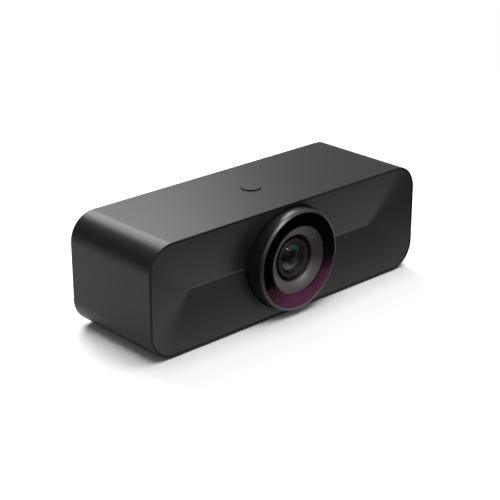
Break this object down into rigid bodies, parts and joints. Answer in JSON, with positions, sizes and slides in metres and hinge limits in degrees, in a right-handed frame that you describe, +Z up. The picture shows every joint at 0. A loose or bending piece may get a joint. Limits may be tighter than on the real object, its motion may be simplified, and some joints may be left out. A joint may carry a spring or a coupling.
{
  "type": "conference camera",
  "caption": "Bar-shaped USB conference camera with a rounded housing, a sunken faceted front, a wide-angle lens behind a flat window, a top push button and a tripod thread.",
  "frame": {"origin": "middle of the whole camera's bounding box, at its base, where the foot pads stand", "axes": "+Z up, the lens looks along -Y, +X runs across the camera to the right of one who faces its front"},
  "size_m": [0.19, 0.0684, 0.0618],
  "materials": {
    "housing_finish": "fine-blasted aluminium, painted dark graphite",
    "panel_plastic": "fine satin graphite plastic",
    "ring_gloss": "near-black, polished",
    "trim_satin": "satin dark anodised",
    "window_glass": "flat glass with a magenta anti-reflection coating",
    "mask_black": "black screen-printed film",
    "hood_satin": "satin grey plastic",
    "lens_black": "black anodised",
    "lens_glass": "coated optical glass",
    "filter_glass": "blue-green infrared filter glass",
    "inner_black": "black moulded plastic",
    "sensor_dark": "dark glass-faced sensor package",
    "board_green": "green solder mask over glass-fibre laminate",
    "chip_black": "black epoxy package",
    "steel": "zinc-plated or stainless steel",
    "brass": "turned brass",
    "sink_metal": "natural extruded aluminium",
    "pad_grey": "soft grey thermal pad",
    "rubber_black": "matt black rubber",
    "connector_cream": "cream connector plastic",
    "flex_amber": "amber polyimide flat cable"
  },
  "bodies": {
    "camera": {"housing_sleeve": "housing_finish", "front_panel": "panel_plastic", "lens_ring": "ring_gloss", "trim_ring": "trim_satin", "window": "window_glass", "mask_ring": "mask_black", "lens_hood": "hood_satin", "lens_barrel": "lens_black", "lens_retainer": "lens_black", "front_element": "lens_glass", "element_spacer": "lens_black", "second_element": "lens_glass", "aperture_stop": "lens_black", "middle_element": "lens_glass", "rear_element": "lens_glass", "lens_holder": "inner_black", "holder_screws": "steel", "ir_filter": "filter_glass", "image_sensor": "sensor_dark", "sensor_board": "board_green", "sensor_screws": "steel", "chassis": "inner_black", "panel_screws": "steel", "microphone_boards": "board_green", "microphones": "steel", "microphone_gaskets": "rubber_black", "microphone_cables": "flex_amber", "main_board": "board_green", "main_board_screws": "steel", "processor": "chip_black", "memory_chips": "chip_black", "thermal_pad": "pad_grey", "heat_sink": "sink_metal", "board_connectors": "connector_cream", "sensor_cable": "flex_amber", "usb_socket": "steel", "usb_tongue": "inner_black", "button_board": "board_green", "button_screws": "steel", "switch_body": "steel", "switch_dome": "steel", "button_cable": "flex_amber", "rear_cover": "panel_plastic", "rear_screws": "steel", "lock_bracket": "steel", "tripod_insert": "brass", "foot_pads": "rubber_black"},
    "button": {"button_cap": "housing_finish"},
    "plunger": {"switch_plunger": "inner_black"}
  },
  "joints": [
    {"name": "button_press", "type": "slide", "parent": "camera", "child": "button", "axis": [0, 0, -1], "range_m": [0, 0.0005], "stiffness_N_per_m": 1600, "springref_m": -0.00015, "deforming": ["switch_dome"]},
    {"name": "plunger_press", "type": "slide", "parent": "camera", "child": "plunger", "axis": [0, 0, -1], "range_m": [0, 0.0005]}
  ],
  "couplings": [
    {"joint": "plunger_press", "follows": "button_press", "ratio": 1}
  ]
}
